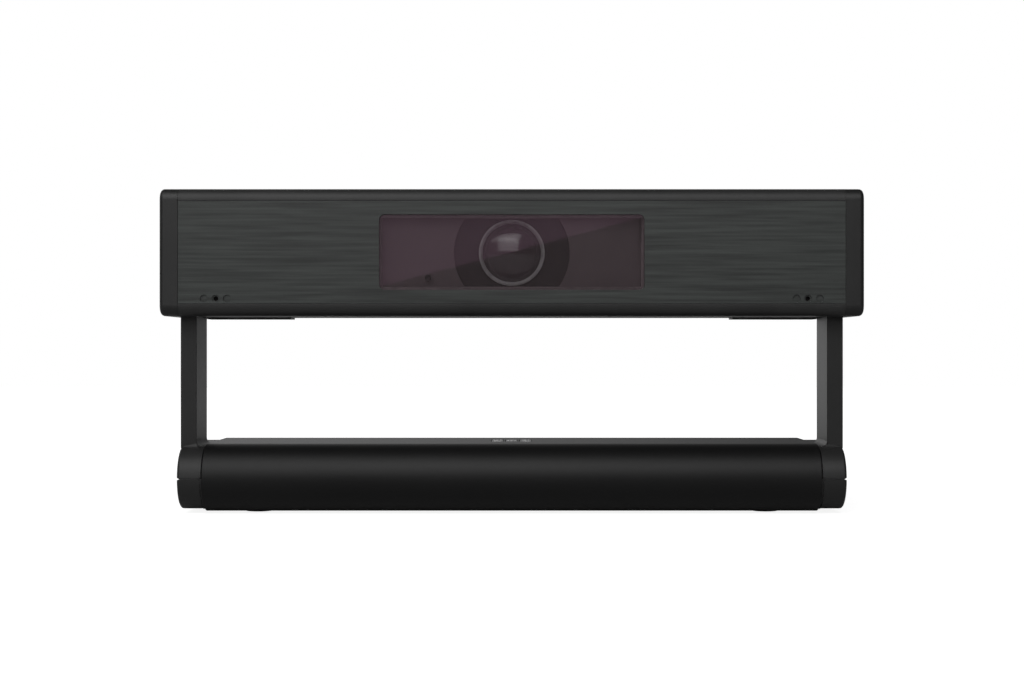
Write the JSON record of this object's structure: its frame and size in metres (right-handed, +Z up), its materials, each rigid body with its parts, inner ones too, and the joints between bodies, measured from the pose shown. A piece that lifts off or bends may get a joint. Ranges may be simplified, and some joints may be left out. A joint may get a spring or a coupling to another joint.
{
  "type": "conference camera",
  "caption": "Wide conference camera head with a smoked window, tilting on two flat arms above a round-nosed base bar with touch keys on its top.",
  "frame": {"origin": "on the surface under the feet, at the middle of the box", "axes": "+X to the right seen from the front, +Y to the back, +Z up"},
  "size_m": [0.353, 0.095, 0.1637],
  "materials": {
    "satin_black": "satin black anodised",
    "brushed_black": "brushed black anodised",
    "arm_black": "satin black anodised",
    "cap_black": "fine matte",
    "key_black": "fine matte",
    "smoked_window": "polished smoked",
    "lens_glass": "polished, coated",
    "optic_black": "matte",
    "ring_metal": "satin anodised",
    "rubber": "matte",
    "brass": "machined",
    "steel": "plated sheet",
    "cast_weight": "as cast",
    "bare_aluminium": "extruded",
    "plate_black": "black coat",
    "ribbon": "film",
    "connector": "moulded",
    "screw_black": "blackened",
    "circuit_board": "solder mask",
    "chip": "moulded"
  },
  "bodies": {
    "base": {"base_sleeve": "satin_black", "base_tray": "steel", "weight_bar": "cast_weight", "base_board": "circuit_board", "cable_connector": "connector", "key_board": "circuit_board", "key_switches": "chip", "tripod_insert": "brass", "rubber_feet": "rubber", "arm_left": "arm_black", "arm_right": "arm_black", "base_cap_left": "cap_black", "base_cap_right": "cap_black", "arm_screws": "screw_black", "weight_screws": "screw_black", "arm_ribbon": "ribbon", "friction_washers": "brass"},
    "head": {"head_housing": "satin_black", "front_panel": "brushed_black", "window": "smoked_window", "window_gasket": "rubber", "head_cap_left": "cap_black", "head_cap_right": "cap_black", "socket_plate": "cap_black", "plate_screws": "screw_black", "hinge_bracket_left": "steel", "hinge_bracket_right": "steel", "pivot_pin_left": "steel", "pivot_pin_right": "steel", "pivot_nuts": "steel", "hinge_plate_left": "plate_black", "hinge_plate_right": "plate_black", "hinge_screws": "screw_black", "head_chassis": "steel", "chassis_screws": "screw_black", "lens_carrier": "optic_black", "carrier_screws": "screw_black", "lens_barrel": "optic_black", "lens_ring": "ring_metal", "front_lens": "lens_glass", "inner_lenses": "lens_glass", "image_sensor": "chip", "sensor_board": "circuit_board", "sensor_ribbon": "ribbon", "main_board": "circuit_board", "processor": "chip", "heat_sink": "bare_aluminium", "video_socket": "steel", "data_socket": "steel", "power_socket": "cap_black", "mic_board_left": "circuit_board", "mic_board_right": "circuit_board", "mic_capsules": "brass", "light_sensor": "optic_black", "light_sensor_board": "circuit_board", "light_shield": "optic_black"},
    "volume_down": {"volume_down_key": "key_black"},
    "mute": {"mute_key": "key_black"},
    "volume_up": {"volume_up_key": "key_black"}
  },
  "joints": [
    {"name": "head_tilt", "type": "hinge", "parent": "base", "child": "head", "pos_m": [0, -0.0188, 0.1138], "axis": [1, 0, 0], "range_deg": [-10, 10]},
    {"name": "volume_down_press", "type": "slide", "parent": "base", "child": "volume_down", "axis": [0, 0, -1], "range_m": [0, 0.0008], "stiffness_N_per_m": 800},
    {"name": "mute_press", "type": "slide", "parent": "base", "child": "mute", "axis": [0, 0, -1], "range_m": [0, 0.0008], "stiffness_N_per_m": 800},
    {"name": "volume_up_press", "type": "slide", "parent": "base", "child": "volume_up", "axis": [0, 0, -1], "range_m": [0, 0.0008], "stiffness_N_per_m": 800}
  ]
}
